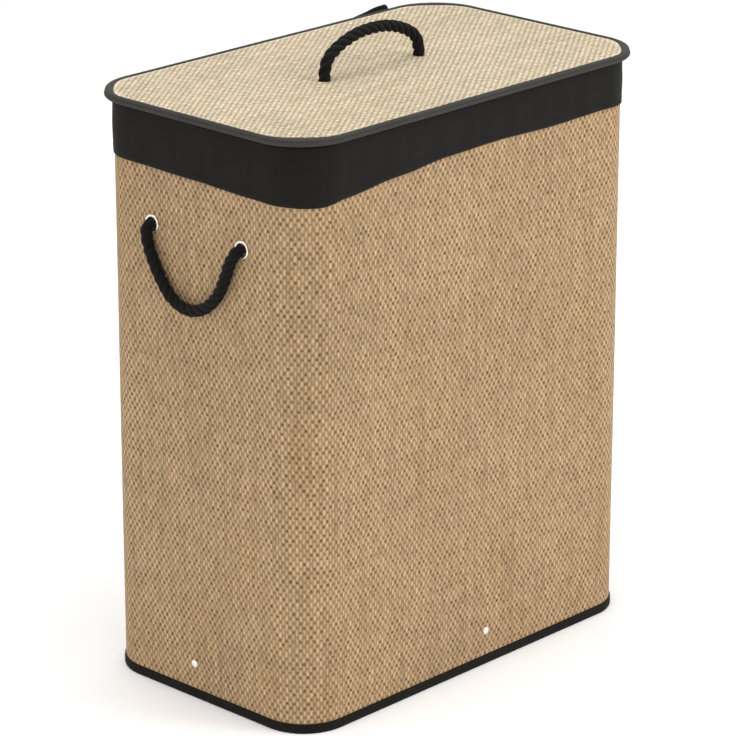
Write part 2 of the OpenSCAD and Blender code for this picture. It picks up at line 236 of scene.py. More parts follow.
def tube(line, radius, around, closed=False):
    """Points, faces and cloth coordinates of a tube along a line: u is the share of the way round, v the
    distance along. radius may be one number or one for each point."""
    way, a, b = frames_along(line, closed)
    turn = TAU * np.arange(around) / around
    radius = np.broadcast_to(radius, len(line))
    ring = np.cos(turn)[None, :, None] * a[:, None] + np.sin(turn)[None, :, None] * b[:, None]
    points = line[:, None] + radius[:, None, None] * ring
    run = distances(np.vstack([line, line[:1]]) if closed else line)
    n, faces, uv = len(line), [], []
    for i in range(n if closed else n - 1):
        j = (i + 1) % n
        for k in range(around):
            l = (k + 1) % around
            faces.append((i * around + k, i * around + l, j * around + l, j * around + k))
            u, w = k / around, (k + 1) / around
            uv += [(u, run[i]), (w, run[i]), (w, run[i + 1]), (u, run[i + 1])]
    if not closed:
        for i, order in ((0, range(around - 1, -1, -1)), (n - 1, range(around))):
            faces.append(tuple(i * around + k for k in order))
            uv += [(k / around, run[i]) for k in order]
    return points.reshape(-1, 3), faces, uv


def joined(parts):
    """Several (points, faces, uv) as one."""
    points, faces, uv, first = [], [], [], 0
    for p, f, c in parts:
        points.append(np.asarray(p, float))
        faces += [tuple(i + first for i in face) for face in f]
        uv += c
        first += len(p)
    return np.concatenate(points), faces, uv


def stitch(centre, way, up, length, radius):
    """One raised stitch of thread: a short fat bead that dips into the cloth at both ends."""
    t = np.linspace(-0.5, 0.5, 5)
    line = centre + np.outer(t * length, way) + np.outer(radius * (0.5 - 4 * t * t), up)
    return tube(line, radius * np.array([0.4, 0.95, 1.1, 0.95, 0.4]), 6)


def stitch_row(line, ups, length, gap, radius):
    """Stitches along a line, with the outward direction at each of its points."""
    run = distances(line)
    count = int(run[-1] / (length + gap))
    parts = []
    for i in range(count):
        at = (i + 0.5) * run[-1] / count
        ends = [point_at(line, run, at + e) for e in (-length / 2, length / 2)]
        up = point_at(ups, run, at)
        way = (ends[1] - ends[0]) / max(1e-9, np.linalg.norm(ends[1] - ends[0]))
        parts.append(stitch((ends[0] + ends[1]) / 2, way, up / np.linalg.norm(up), length, radius))
    return joined(parts)


def loft_round(name, loop, rows, v, material, close=False):
    """A sheet through rows that each go right round the loop."""
    return grid_mesh(name, rows, loop.u[None, :], np.array(v)[:, None], material, wrap=True, close=close)


def stitches_round(name, loop, out, z, length, gap, radius):
    """A row of stitches right round the loop, at an outward offset and a height."""
    line = loop.row(out, z)
    ups = np.column_stack([loop.outs, np.zeros(loop.n)])
    thread = stitch_row(np.vstack([line, line[:1]]), np.vstack([ups, ups[:1]]), length, gap, radius)
    return new_object(name, *thread, THREAD)


# ---------- materials ----------


class Wire:
    """A value in a node tree, so that arithmetic on it adds Math nodes."""

    def __init__(self, tree, socket):
        self.tree, self.socket = tree, socket

    def op(self, operation, *others):
        node = self.tree.nodes.new("ShaderNodeMath")
        node.operation = operation
        for i, value in enumerate([self, *others]):
            if isinstance(value, Wire):
                self.tree.links.new(value.socket, node.inputs[i])
            else:
                node.inputs[i].default_value = value
        return Wire(self.tree, node.outputs[0])

    def __add__(self, other):
        return self.op("ADD", other)

    def __sub__(self, other):
        return self.op("SUBTRACT", other)

    def __mul__(self, other):
        return self.op("MULTIPLY", other)

    def floor(self):
        return self.op("FLOOR")

    def fract(self):
        return self.op("FRACT")

    def cos(self):
        return self.op("COSINE")

    def clamp(self):
        return self.op("MAXIMUM", 0.0).op("MINIMUM", 1.0)

    def larger(self, other):
        return self.op("MAXIMUM", other)

    def to(self, socket):
        self.tree.links.new(self.socket, socket)


class Finish:
    """A material under construction: a Principled shader and the nodes that feed it."""

    def __init__(self, name, roughness=0.8, metallic=0.0, sheen=0.0, specular=0.3):
        self.material = bpy.data.materials.new(name)
        self.material.use_nodes = True
        self.tree = self.material.node_tree
        self.tree.nodes.clear()
        output = self.tree.nodes.new("ShaderNodeOutputMaterial")
        self.shader = self.tree.nodes.new("ShaderNodeBsdfPrincipled")
        self.tree.links.new(self.shader.outputs[0], output.inputs[0])
        self.set("Roughness", roughness)
        self.set("Metallic", metallic)
        self.set("Specular IOR Level", specular)
        self.set("Sheen Weight", sheen)
        self.set("Sheen Roughness", 0.5)

    def set(self, socket, value):
        self.shader.inputs[socket].default_value = value

    def cloth(self):
        """The cloth's own coordinates in metres, as two values."""
        node = self.tree.nodes.new("ShaderNodeUVMap")
        node.uv_map = "Cloth"
        parts = self.tree.nodes.new("ShaderNodeSeparateXYZ")
        self.tree.links.new(node.outputs[0], parts.inputs[0])
        return Wire(self.tree, parts.outputs[0]), Wire(self.tree, parts.outputs[1])

    def place(self):
        """The object's coordinates in metres, as three values."""
        node = self.tree.nodes.new("ShaderNodeTexCoord")
        parts = self.tree.nodes.new("ShaderNodeSeparateXYZ")
        self.tree.links.new(node.outputs["Object"], parts.inputs[0])
        return [Wire(self.tree, parts.outputs[i]) for i in range(3)]

    def vector(self, x, y, z=0.0):
        node = self.tree.nodes.new("ShaderNodeCombineXYZ")
        for i, value in enumerate((x, y, z)):
            if isinstance(value, Wire):
                value.to(node.inputs[i])
            else:
                node.inputs[i].default_value = value
        return node.outputs[0]

    def noise(self, vector, scale, detail=3.0, roughness=0.5):
        node = self.tree.nodes.new("ShaderNodeTexNoise")
        node.inputs["Scale"].default_value = scale
        node.inputs["Detail"].default_value = detail
        node.inputs["Roughness"].default_value = roughness
        self.tree.links.new(vector, node.inputs["Vector"])
        return Wire(self.tree, node.outputs[0])

    def chance(self, x, y=0.0, z=0.0):
        """A random value from 0 to 1 for each whole (x, y)."""
        node = self.tree.nodes.new("ShaderNodeTexWhiteNoise")
        self.tree.links.new(self.vector(x, y, z), node.inputs["Vector"])
        return Wire(self.tree, node.outputs[0])

    def mix(self, amount, a, b):
        """The colour a where amount is 0 and b where it is 1; a and b are colours or sockets."""
        node = self.tree.nodes.new("ShaderNodeMix")
        node.data_type = "RGBA"
        amount.to(node.inputs[0])
        for i, value in ((6, a), (7, b)):
            if isinstance(value, tuple):
                node.inputs[i].default_value = (*value, 1)
            else:
                self.tree.links.new(value, node.inputs[i])
        return node.outputs[2]

    def scaled(self, colour, factor):
        """A colour times a grey value."""
        node = self.tree.nodes.new("ShaderNodeVectorMath")
        node.operation = "SCALE"
        if isinstance(colour, tuple):
            node.inputs[0].default_value = colour
        else:
            self.tree.links.new(colour, node.inputs[0])
        factor.to(node.inputs["Scale"])
        return node.outputs[0]

    def colour(self, socket):
        self.tree.links.new(socket, self.shader.inputs["Base Color"])

    def roughness(self, wire):
        wire.to(self.shader.inputs["Roughness"])

    def bump(self, height, depth):
        """Raises the surface by height, from 0 to 1, times depth in metres."""
        node = self.tree.nodes.new("ShaderNodeBump")
        node.inputs["Distance"].default_value = depth
        node.inputs["Strength"].default_value = 1.0
        height.to(node.inputs["Height"])
        self.tree.links.new(node.outputs[0], self.shader.inputs["Normal"])


def straw(name, dark, shaded_strand, light, warm, pitch_u, pitch_v, seed, floats=0.24, lines=0.0, holes=1.0, edge=0.0):
    """Plain weave of twisted paper straw: thin ribs run along v, strands cross over and under them, and round
    holes show between, painted dark as painted shade. Each strand is painted darker where it dips and paler
    where it rises, a painted shade and highlight. No two strands, floats or holes are quite alike. floats is
    how much the floats differ, lines how dark the painted shade between two ribs is, holes how often holes
    show, and edge how pale the last few mm are."""
    f = Finish(name, roughness=0.7, specular=0.22)
    u, v = f.cloth()
    wander = f.noise(f.vector(u + seed, v * 0.6), 9.0, 2.0)
    shiver = f.noise(f.vector(u, v + seed), 150.0, 2.0)
    across = (u + (wander - 0.5) * 0.006 + (shiver - 0.5) * 0.0026) * (1 / pitch_u)
    along = (v + (wander - 0.5) * 0.004 + (shiver - 0.5) * 0.0026) * (1 / pitch_v)
    column, row = across.floor(), along.floor()
    check = ((across - 0.5) * math.pi).cos() * ((along - 0.5) * math.pi).cos()
    rib_lift = ((along + column - 0.5) * math.pi).cos() * 0.5 + 0.5
    cross_lift = ((across + row - 0.5) * math.pi).cos() * -0.5 + 0.5
    rib_side, cross_side = across.fract() * 2 - 1, along.fract() * 2 - 1
    rib = (rib_side * rib_side * -2.2 + 1).clamp() * (rib_lift * 0.6 + 0.4)
    cross = (cross_side * cross_side * -0.5 + 1).clamp() * (cross_lift * 0.5 + 0.3)
    height = rib.larger(cross)
    float_chance = f.chance(column, ((along + column) * 0.5).floor())
    streak = f.noise(f.vector(column * 0.83 + seed, v * 6), 1.0, 2.0, 0.6)
    band = f.noise(f.vector(row * 0.77 + seed, u * 5), 1.0, 2.0, 0.6)
    fibre = f.noise(f.vector(u * 6, v), 420.0, 2.0)
    blotch = f.noise(f.vector(u, v * 0.5, seed), 8.0, 4.0, 0.6)
    tint = f.noise(f.vector(u, v * 0.3, seed + 3), 16.0, 3.0, 0.6)
    tone = float_chance * floats + streak * 0.62 + band * 0.2 + fibre * 0.25 + blotch * 0.25
    tone = tone + 0.295 - floats * 0.5
    # Painted shade and highlight: each strand is mixed from a darker copy where it dips under to a paler copy
    # where it rises.
    strand = f.mix((check * 0.25 + rib * 0.52 + 0.2).clamp(), shaded_strand, light)
    strand = f.mix(((tint - 0.5) * 3).clamp() * 0.45, strand, warm)
    # Painted shade: the random tone is darkened where the weave is low and in the grooves between ribs.
    between = (rib_side * rib_side * 1.9 - 0.9).clamp() * lines
    tone_and_shade = f.scaled(strand, tone * (check * 0.08 + height * 0.14 + 0.87) * (between * -1.0 + 1.0))
    hole_chance = f.chance(column, row, 0.5)
    # Painted shade: the holes between the strands are filled with the darkest colour.
    hole = ((check * -1.0 - 0.2) * 2.0).clamp() * ((hole_chance * 0.6 + streak * 0.6 - 0.04) * holes).clamp()
    woven = f.mix(hole, tone_and_shade, dark)
    if edge:
        x, y, z = f.place()
        past_x = (x.op("ABSOLUTE") - (HALF_W + LIP_OUT - PANEL_R)).larger(0.0)
        past_y = (y.op("ABSOLUTE") - (HALF_D + LIP_OUT - PANEL_R)).larger(0.0)
        out = (past_x * past_x + past_y * past_y).op("SQRT") - PANEL_R
        woven = f.mix((out * (1 / EDGE_FADE) + 1.0).clamp() * edge, woven, EDGE_PALE)
    f.colour(woven)
    f.bump(height - hole * 0.6 + fibre * 0.12, 0.6 * MM)
    return f.material


def cloth(name, base, pale, pitch=0.7 * MM, depth=0.12 * MM, sheen=0.04, wear=0.5, roughness=0.9):
    """Plain-weave cloth, with a fuzz that catches light and soft uneven dye; its raised threads are painted
    paler, a painted highlight.
    """
    f = Finish(name, roughness=roughness, specular=0.08, sheen=sheen)
    u, v = f.cloth()
    across, along = u * (1 / pitch), v * (1 / pitch)
    column, row = across.floor(), along.floor()
    over = ((along + column - 0.5) * math.pi).cos() * 0.5 + 0.5
    under = ((across + row - 0.5) * math.pi).cos() * -0.5 + 0.5
    warp = (across.fract() * 2 - 1).op("ABSOLUTE") * -0.8 + 1
    weft = (along.fract() * 2 - 1).op("ABSOLUTE") * -0.8 + 1
    height = (warp * over).larger(weft * under)
    slub = f.noise(f.vector(u * 0.3, v), 900.0, 2.0)
    dye = f.noise(f.vector(u, v), 18.0, 4.0, 0.6)
    # Painted highlight: the raised threads are mixed towards the paler colour.
    amount = (height * 0.45 + slub * 0.3 + dye * wear - 0.2).clamp()
    f.colour(f.mix(amount, base, pale))
    f.bump(height * 0.7 + slub * 0.5, depth)
    return f.material


def rope_finish(name, base, pale):
    """Spun cotton: fine yarns wound round each strand, their crests painted paler as a painted highlight."""
    f = Finish(name, roughness=0.8, specular=0.12, sheen=0.03)
    u, v = f.cloth()
    yarn = ((u * 6 + v * (1 / (2.4 * MM))) * TAU).cos() * 0.5 + 0.5
    fuzz = f.noise(f.vector(u * 0.012, v), 1200.0, 3.0)
    # Painted highlight: the crests of the yarns are mixed towards the paler colour.
    amount = (yarn * 0.5 + fuzz * 0.5 - 0.15).clamp()
    f.colour(f.mix(amount, base, pale))
    f.bump(yarn * 0.7 + fuzz * 0.5, 0.25 * MM)
    return f.material


def metal(name, base, roughness):
    """Plated or bare metal with faint rubbing marks."""
    f = Finish(name, roughness=roughness, metallic=1.0, specular=0.5)
    x, y, z = f.place()
    rub = f.noise(f.vector(x, y, z * 0.3), 700.0, 3.0)
    stain = f.noise(f.vector(x, y, z), 90.0, 2.0)
    f.colour(f.scaled(base, stain * 0.25 + 0.86))
    f.roughness(rub * 0.22 + (roughness - 0.08))
    f.bump(rub, 0.02 * MM)
    return f.material


def board(name, base, pale):
    """Grey-brown pressed board with loose fibres."""
    f = Finish(name, roughness=0.92, specular=0.15)
    x, y, z = f.place()
    fibre = f.noise(f.vector(x * 0.25, y, z), 600.0, 4.0, 0.7)
    cloud = f.noise(f.vector(x, y, z), 30.0, 3.0)
    f.colour(f.mix((fibre * 0.6 + cloud * 0.4).clamp(), base, pale))
    f.bump(fibre, 0.08 * MM)
    return f.material


def cloth_in_place(name, base, pale):
    """The same dark cloth for a hidden CAD node, which has no cloth coordinates of its own."""
    f = Finish(name, roughness=0.9, specular=0.15, sheen=0.2)
    x, y, z = f.place()
    grain = f.noise(f.vector(x, y, z), 1200.0, 3.0)
    dye = f.noise(f.vector(x, y, z), 25.0, 3.0)
    f.colour(f.mix((grain * 0.6 + dye * 0.5 - 0.2).clamp(), base, pale))
    f.bump(grain, 0.1 * MM)
    return f.material


# The rim's lip: how far its inner edge is past the wall, how much further in it comes at the corners, and the
# radius of the woven panel's corners that this leaves
LIP_OUT, LIP_AT_CORNERS = 4.0 * MM, 4.5 * MM
PANEL_R = CORNER_R + LIP_OUT + LIP_AT_CORNERS / (math.sqrt(2) - 1)
EDGE_FADE, EDGE_PALE = 5 * MM, (0.80, 0.74, 0.64)
# In both straw finishes the darkest colour is painted shade in the holes, and the two strand colours are the
# straw in painted shade and in painted highlight; the warm colour is the straw's own tint.
STRAW_WALL = straw("straw_wall", dark=(0.10, 0.044, 0.011), shaded_strand=(0.38, 0.248, 0.13),
                   light=(0.545, 0.378, 0.216), warm=(0.41, 0.25, 0.103),
                   pitch_u=3.4 * MM, pitch_v=4.7 * MM, seed=0.37, lines=0.35, holes=1.05)
STRAW_LID = straw("straw_lid", dark=(0.15, 0.105, 0.055), shaded_strand=(0.50, 0.405, 0.272),
                  light=(0.74, 0.63, 0.453), warm=(0.57, 0.43, 0.262),
                  pitch_u=3.2 * MM, pitch_v=4.5 * MM, seed=0.81,
                  floats=0.22, lines=1.0, holes=0.85, edge=0.35)
# The second, paler colour of each cloth below and of the rope is in part a painted highlight on the raised
# threads, and in part fuzz, and for the cloths uneven dye.
CUFF_CLOTH = cloth("cuff_cloth", (0.006, 0.0055, 0.005), (0.02, 0.018, 0.0165))
LINER_CLOTH = cloth("liner_cloth", (0.012, 0.011, 0.01), (0.034, 0.032, 0.029))
RIM_CLOTH = cloth("rim_cloth", (0.026, 0.025, 0.022), (0.075, 0.072, 0.064), pitch=0.6 * MM)
BINDING_CLOTH = cloth("binding_cloth", (0.006, 0.005, 0.004), (0.018, 0.015, 0.012), pitch=0.6 * MM)
STRAP_CLOTH = cloth("strap_cloth", (0.006, 0.0056, 0.0052), (0.02, 0.0188, 0.0175),
                    pitch=0.9 * MM, depth=0.2 * MM)
STRAP_THREAD = cloth("strap_thread", (0.02, 0.018, 0.016), (0.055, 0.05, 0.045),
                     pitch=0.3 * MM, depth=0.05 * MM)
THREAD = cloth("thread", (0.008, 0.007, 0.006), (0.024, 0.022, 0.02), pitch=0.3 * MM, depth=0.05 * MM)
ROPE = rope_finish("rope", (0.0025, 0.0023, 0.0022), (0.012, 0.0112, 0.0105))
NICKEL = metal("nickel", (0.92, 0.88, 0.82), 0.28)
WIRE = metal("wire", (0.45, 0.45, 0.46), 0.4)
BOARD = board("board", (0.30, 0.21, 0.12), (0.46, 0.35, 0.22))
HIDDEN_CLOTH = cloth_in_place("hidden_cloth", (0.012, 0.011, 0.01), (0.035, 0.032, 0.029))


# ---------- ropes ----------

# A side handle's route between its eyelets, as [outward, sideways, up] in mm from the middle of the eyelets:
# in through one eyelet, along the CAD rope's own points, and in through the other. Those points are a trace of
# the left rope, measured in the photograph through the fitted camera and then moved.
SIDE_ROUTE = [
    [-5, 61, 0], [0, 61, 0], [4.2, 61, -0.9], [6.9, 61, -4.2], [7.45, 61, -11], [7.45, 57.5, -22],
    [7.45, 52, -34], [7.45, 45, -46], [7.45, 37, -56.5], [7.45, 27.5, -65.5], [7.45, 15, -71.5],
    [7.45, 0, -72.5], [7.45, -15, -67.5], [7.45, -28.5, -57.5], [7.45, -39, -44], [7.45, -46.5, -28],
    [7.45, -53, -13], [6.7, -58.5, -4], [4.2, -60.8, -0.8], [0, -61, 0], [-5, -61, 0],
]
# The lid handle's route, as [sideways, up] in mm from the middle of its holes at the lid's top
LID_ROUTE = [
    [-67, -6], [-67, 0], [-66.6, 6.45], [-65, 13.95], [-61, 20.95], [-53, 26.95], [-41.5, 32.45],
    [-27, 36.95], [-13, 39.25], [0, 39.75], [13, 39.25], [27, 36.95], [41.5, 32.45], [53, 26.95],
    [61, 20.95], [65, 13.95], [66.6, 6.45], [67, 0], [67, -6],
]
LAY = 29 * MM
STRANDS = 3
KNOT_SIZE, KNOT_H, KNOT_ROPE_D = 26 * MM, 15 * MM, 10 * MM


def twisted_rope(name, line, material):
    """A laid rope: strands wound round the line, each a tube of its own, joined in one mesh."""
    way, a, b = frames_along(line)
    run = distances(line)
    radius, offset, around = 0.288 * ROPE_D, 0.226 * ROPE_D, 12
    strands = []
    for k in range(STRANDS):
        turn = TAU * (run / LAY + k / STRANDS)
        centre = line + offset * (np.cos(turn)[:, None] * a + np.sin(turn)[:, None] * b)
        strands.append(tube(centre, radius, around))
    return new_object(name, *joined(strands), material)


def side_rope_line(side):
    points = [(side * (HALF_W + o * MM), y * MM, EYELET_Z + z * MM) for o, y, z in SIDE_ROUTE]
    return spline(points, 1.6 * MM)


def lid_rope_line():
    top = LID_HIGH[2]
    return spline([(x * MM, 0, top + z * MM) for x, z in LID_ROUTE], 1.6 * MM)


def knot_mesh(centre, out, size, height, thickness):
    """A pulled-tight overhand knot of rope, its axis along out, as (points, faces)."""
    t = np.linspace(0, TAU, 90, endpoint=False)
    reach = (size / 2 - thickness / 2) / 3
    flat = np.column_stack([np.sin(t) + 2 * np.sin(2 * t), np.cos(t) - 2 * np.cos(2 * t)]) * reach
    lift = -np.sin(3 * t) * (height / 2 - thickness / 2)
    out = np.array(out, float)
    side = np.cross(out, (0, 1.0, 0) if abs(out[1]) < 0.9 else (1.0, 0, 0))
    side /= np.linalg.norm(side)
    other = np.cross(out, side)
    line = np.array(centre) + flat[:, :1] * side + flat[:, 1:] * other + lift[:, None] * out
    ridges = 1 + 0.06 * np.cos(np.arange(90) * TAU / 6)
    knot = tube(line, thickness / 2 * ridges, 12, closed=True)
    tail_way = -out
    start = np.array(centre) + side * reach * 0.8
    tail = np.array([start + tail_way * s * height for s in np.linspace(0, 0.62, 8)])
    fray = thickness / 2 * np.array([0.7, 0.8, 0.85, 0.88, 0.92, 1.0, 1.08, 0.95])
    return joined([knot, tube(tail, fray, 12)])


def make_ropes():
    for side, word in ((-1, "left"), (1, "right")):
        line = side_rope_line(side)
        piece = twisted_rope(f"{word}_rope", line, ROPE)
        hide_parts(f"{word}_handle_rope")
        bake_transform(piece)
        knot_x = side * (HALF_W - 12.7 * MM)
        knots = joined([
            knot_mesh((knot_x, y, EYELET_Z), (side, 0, 0), KNOT_SIZE, KNOT_H, KNOT_ROPE_D)
            for y in (-EYELET_Y, EYELET_Y)
        ])
        knot = new_object(f"{word}_knots", *knots, ROPE)
        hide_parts(f"{word}_handle_knots")
        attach(knot, "hamper")
    line = lid_rope_line()
    piece = twisted_rope("lid_rope", line, ROPE)
    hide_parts("lid_handle_rope")
    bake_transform(piece)
    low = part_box("lid_handle_knots")[0][2]
    knots = joined([
        knot_mesh((x, 0, low + KNOT_H / 2), (0, 0, 1), KNOT_SIZE, KNOT_H, KNOT_ROPE_D)
        for x in (-LID_HOLE_X, LID_HOLE_X)
    ])
    knot = new_object("lid_knots", *knots, ROPE)
    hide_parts("lid_handle_knots")
    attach(knot, "lid")


make_ropes()


# ---------- wall ----------


def make_woven_wall():
    """The woven skin: a closed thin shell, very slightly uneven, as stiffened straw cloth is."""
    loop = Loop(5 * MM, 14)
    low, high = WALL_LOW[2], WALL_HIGH[2]
    heights = np.linspace(low, high, 74)
    share = loop.along / loop.total
    rows, v = [], []
    for z in heights:
        t = (z - low) / (high - low)
        swell = 0.35 * MM * ripple(share + 0.13 * t, (3, 5, 8), 4) * math.sin(math.pi * t)
        rows.append(loop.row(swell, z))
        v.append(z)
    for z in (high, low):
        rows.append(loop.row(-1.2 * MM, z))
        v.append(z)
    piece = loft_round("woven_wall", loop, rows, v, STRAW_WALL, close=True)
    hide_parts("woven_skin")
    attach(piece, "hamper")


def make_bottom_binding():
    """Black tape sewn round the bottom edge: rounded, slightly puckered, with a row of stitches."""
    loop = Loop(3 * MM, 26)
    share = loop.along / loop.total
    outline = [(-0.1, 10.0), (0.5, 10.15), (1.1, 9.7), (1.3, 8.6), (1.15, 7.4), (1.4, 5.8), (1.45, 3.5),
               (1.35, 1.6), (0.9, 0.5), (0.1, 0.0), (-4.0, 0.0), (-8.4, 0.0), (-9.0, 0.6), (-9.0, 6.3),
               (-7.8, 6.3), (-7.8, 1.25), (-0.1, 1.25)]
    pucker = ripple(share, (150, 163, 171), 7)
    rows, v, run = [], [], 0.0
    for i, (o, z) in enumerate(outline):
        outer = 1.0 if o > 0.3 else 0.0
        edge = 0.14 if z > 9 else 0.0
        height = z * BINDING_TOP / 0.01 + edge * pucker * outer
        rows.append(loop.row((o + 0.07 * pucker * outer) * MM, height * MM))
        run += math.dist(outline[i - 1], (o, z)) if i else 0
        v.append(run * MM)
    piece = loft_round("bottom_tape", loop, rows, v, BINDING_CLOTH, close=True)
    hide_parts("bottom_binding")
    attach(piece, "hamper")
    row = stitches_round("bottom_stitches", loop, 1.22 * MM, 7.5 * MM, 3.2 * MM, 1.3 * MM, 0.28 * MM)
    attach(row, "hamper")


# ---------- turned metal ----------


def turned(name, profile, places, material, around=40):
    """Copies of a turned piece. The profile is [radius, outward] in mm, and each place is (centre, outward
    direction)."""
    parts = []
    for centre, out in places:
        out = np.array(out, float)
        side = np.cross(out, (0, 0, 1.0) if abs(out[2]) < 0.9 else (1.0, 0, 0))
        side /= np.linalg.norm(side)
        other = np.cross(out, side)
        points, faces, uv = [], [], []
        for r, h in profile:
            for k in range(around):
                t = TAU * k / around
                spoke = math.cos(t) * side + math.sin(t) * other
                points.append(np.array(centre) + (r * spoke + h * out) * MM)
        for i in range(len(profile) - 1):
            for k in range(around):
                l = (k + 1) % around
                faces.append((i * around + k, (i + 1) * around + k, (i + 1) * around + l, i * around + l))
                uv += [(k / around, i), (k / around, i + 1), ((k + 1) / around, i + 1), ((k + 1) / around, i)]
        parts.append((points, faces, uv))
    return new_object(name, *joined(parts), material)


def eyelet_places():
    return [((side * HALF_W, y, EYELET_Z), (side, 0, 0)) for side in (-1, 1) for y in (-EYELET_Y, EYELET_Y)]


def rivet_places():
    ends = [((side * HALF_W, -side * RIVET_SHIFT_D, RIVET_Z), (side, 0, 0)) for side in (-1, 1)]
    return ends + [((-side * RIVET_SHIFT_W, side * HALF_D, RIVET_Z), (0, side, 0)) for side in (-1, 1)]


def make_metal():
    turns = np.linspace(-0.15, math.pi * 0.6, 9)
    rolled = [(9.0 - 1.15 + 1.15 * math.cos(t), 0.15 + 1.15 * math.sin(t)) for t in turns]
    throat = [(6.9, 1.2), (6.3, 0.9), (5.85, 0.3), (5.75, -0.6), (5.7, -5.0), (7.8, -5.0), (7.8, -4.4),
              (6.4, -4.4), (6.4, 0)]
    eyelets = turned("eyelets", [(8.6, 0.0), *rolled, *throat], eyelet_places(), NICKEL, 48)
    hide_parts("handle_eyelets")
    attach(eyelets, "hamper")
    dome = [(4.0 * math.cos(t), 0.25 + 1.05 * math.sin(t)) for t in np.linspace(0, math.pi / 2 - 0.02, 9)]
    rivets = turned("rivets", [(1.6, -5.8), (1.6, 0.0), (3.7, 0.0), *dome], rivet_places(), NICKEL, 36)
    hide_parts("base_rivets")
    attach(rivets, "hamper")


# ---------- liner and cuff ----------

# How high the cuff's lower edge hangs at places round the wall, in mm: (side, place along it in mm, height).
# Most rows for the left and the front are measured in the photograph through the fitted camera and rounded,
# and a few of them were moved since. The near corner, the back and the right are set one by one or guessed.
CUFF_EDGE = [
    ("back", 190, 541), ("back", 60, 546), ("back", -70, 543), ("back", -190, 539),
    ("left", 95, 537), ("left", 0, 535.5), ("left", -65, 533.5),
    ("front", -215, 531), ("front", -186, 535), ("front", -112, 541), ("front", -42, 546), ("front", 30, 547),
    ("front", 105, 545), ("front", 180, 546),
    ("right", -80, 541), ("right", 0, 546), ("right", 80, 540),
]


def cuff_edge_heights(loop):
    """The cuff's wavy lower edge, for each point of the loop."""
    places = []
    for side, at, z in CUFF_EDGE:
        spot = {"back": (at, 141), "left": (-241, at), "front": (at, -141), "right": (241, at)}[side]
        near = np.argmin(np.linalg.norm(loop.points - np.array(spot) * MM, axis=1))
        places.append((loop.along[near], z * MM))
    places.sort()
    s = np.array([p[0] for p in places])
    z = np.array([p[1] for p in places])
    s = np.concatenate([[s[-1] - loop.total], s, [s[0] + loop.total]])
    z = np.concatenate([[z[-1]], z, [z[0]]])
    i = np.clip(np.searchsorted(s, loop.along, side="right") - 1, 0, len(s) - 2)
    t = smoothstep((loop.along - s[i]) / (s[i + 1] - s[i]), 0, 1)
    return z[i] + (z[i + 1] - z[i]) * t


def knot_bulge(loop, z):
    """How far the liner is pushed in over the knots of the side handles."""
    push = np.zeros(loop.n)
    for side in (-1, 1):
        for y in (-EYELET_Y, EYELET_Y):
            away = np.hypot(loop.points[:, 1] - y, z - EYELET_Z)
            on_side = np.sign(loop.points[:, 0]) == side
            on_side &= np.abs(loop.outs[:, 0]) > 0.9
            push = np.maximum(push, np.where(on_side, 1 - smoothstep(away, 13.5 * MM, 34 * MM), 0))
    return push


def make_liner():
    """One cloth: the cuff outside, over the top edge, and the bag's sides down to its floor."""
    loop = Loop(4 * MM, 18)
    share = loop.along / loop.total
    edge = cuff_edge_heights(loop)
    top = CUFF_TOP - 0.5 * MM
    creases = ripple(share, (17, 29, 41, 53), 11)
    fine = ripple(share, (71, 97, 113), 12)
    at_corner = 1 - np.abs(loop.outs).max(1)
    corner_fold = 1.0 * at_corner / 0.3 * (0.5 + 0.5 * np.sin(loop.along / (9 * MM)))
    rows, v, run = [], [], 0.0
    for t in np.linspace(0, 1, 18):
        z = edge + (top - 1.5 * MM - edge) * t
        low = 1 - t
        slack = math.sin(math.pi * t) ** 2
        flare = 0.85 + 0.25 * low**3 + 0.2 * low * creases + (0.2 + 0.28 * creases + 0.22 * fine) * slack
        flare = np.maximum(flare + slack * corner_fold, 0.75)
        rows.append(loop.row(flare * MM, z))
        v.append(run)
        run += float(np.mean(top - edge)) / 17
    for o, drop in ((1.1, 0.55), (0.4, 0.12), (-1.5, 0.0), (-4.5, 0.0), (-7.5, 0.05), (-9.0, 0.35)):
        rows.append(loop.row(o * MM, top - drop * MM))
        run += 2 * MM
        v.append(run)
    low_z, folds = LINER_FOOT + 1.0 * MM, ripple(share, (9, 14, 23, 31), 21)
    small = ripple(share, (47, 61, 83), 22)
    for t in np.linspace(0.004, 1, 60):
        z = top - 1 * MM - (top - 1 * MM - low_z) * t
        sag = math.sin(math.pi * min(1, t * 1.02)) ** 0.7
        drift = ripple(share + 0.05 * t, (6, 11, 19), 23)
        fold = 9.9 + sag * (2.2 + 1.2 * folds + 0.5 * small + 0.9 * drift * math.sin(TAU * t) ** 2)
        foot = max(0.0, (t - 0.965) / 0.035)
        inward = np.maximum(fold, 9.7) + 6 * foot**2
        push = knot_bulge(loop, z)
        inward = inward * (1 - push) + 23.4 * push
        rows.append(loop.row(-inward * MM, z))
        run += (top - low_z) / 60
        v.append(run)
    piece = loft_round("liner", loop, rows, v, CUFF_CLOTH)
    thicken(piece, 0.8 * MM)
    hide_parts("liner_sides", "liner_cuff")
    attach(piece, "hamper")
    hem_out = (1.1 + 0.2 * creases + 0.42) * MM
    hem = stitches_round("cuff_stitches", loop, hem_out, edge + 6 * MM, 2.8 * MM, 1.2 * MM, 0.22 * MM)
    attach(hem, "hamper")


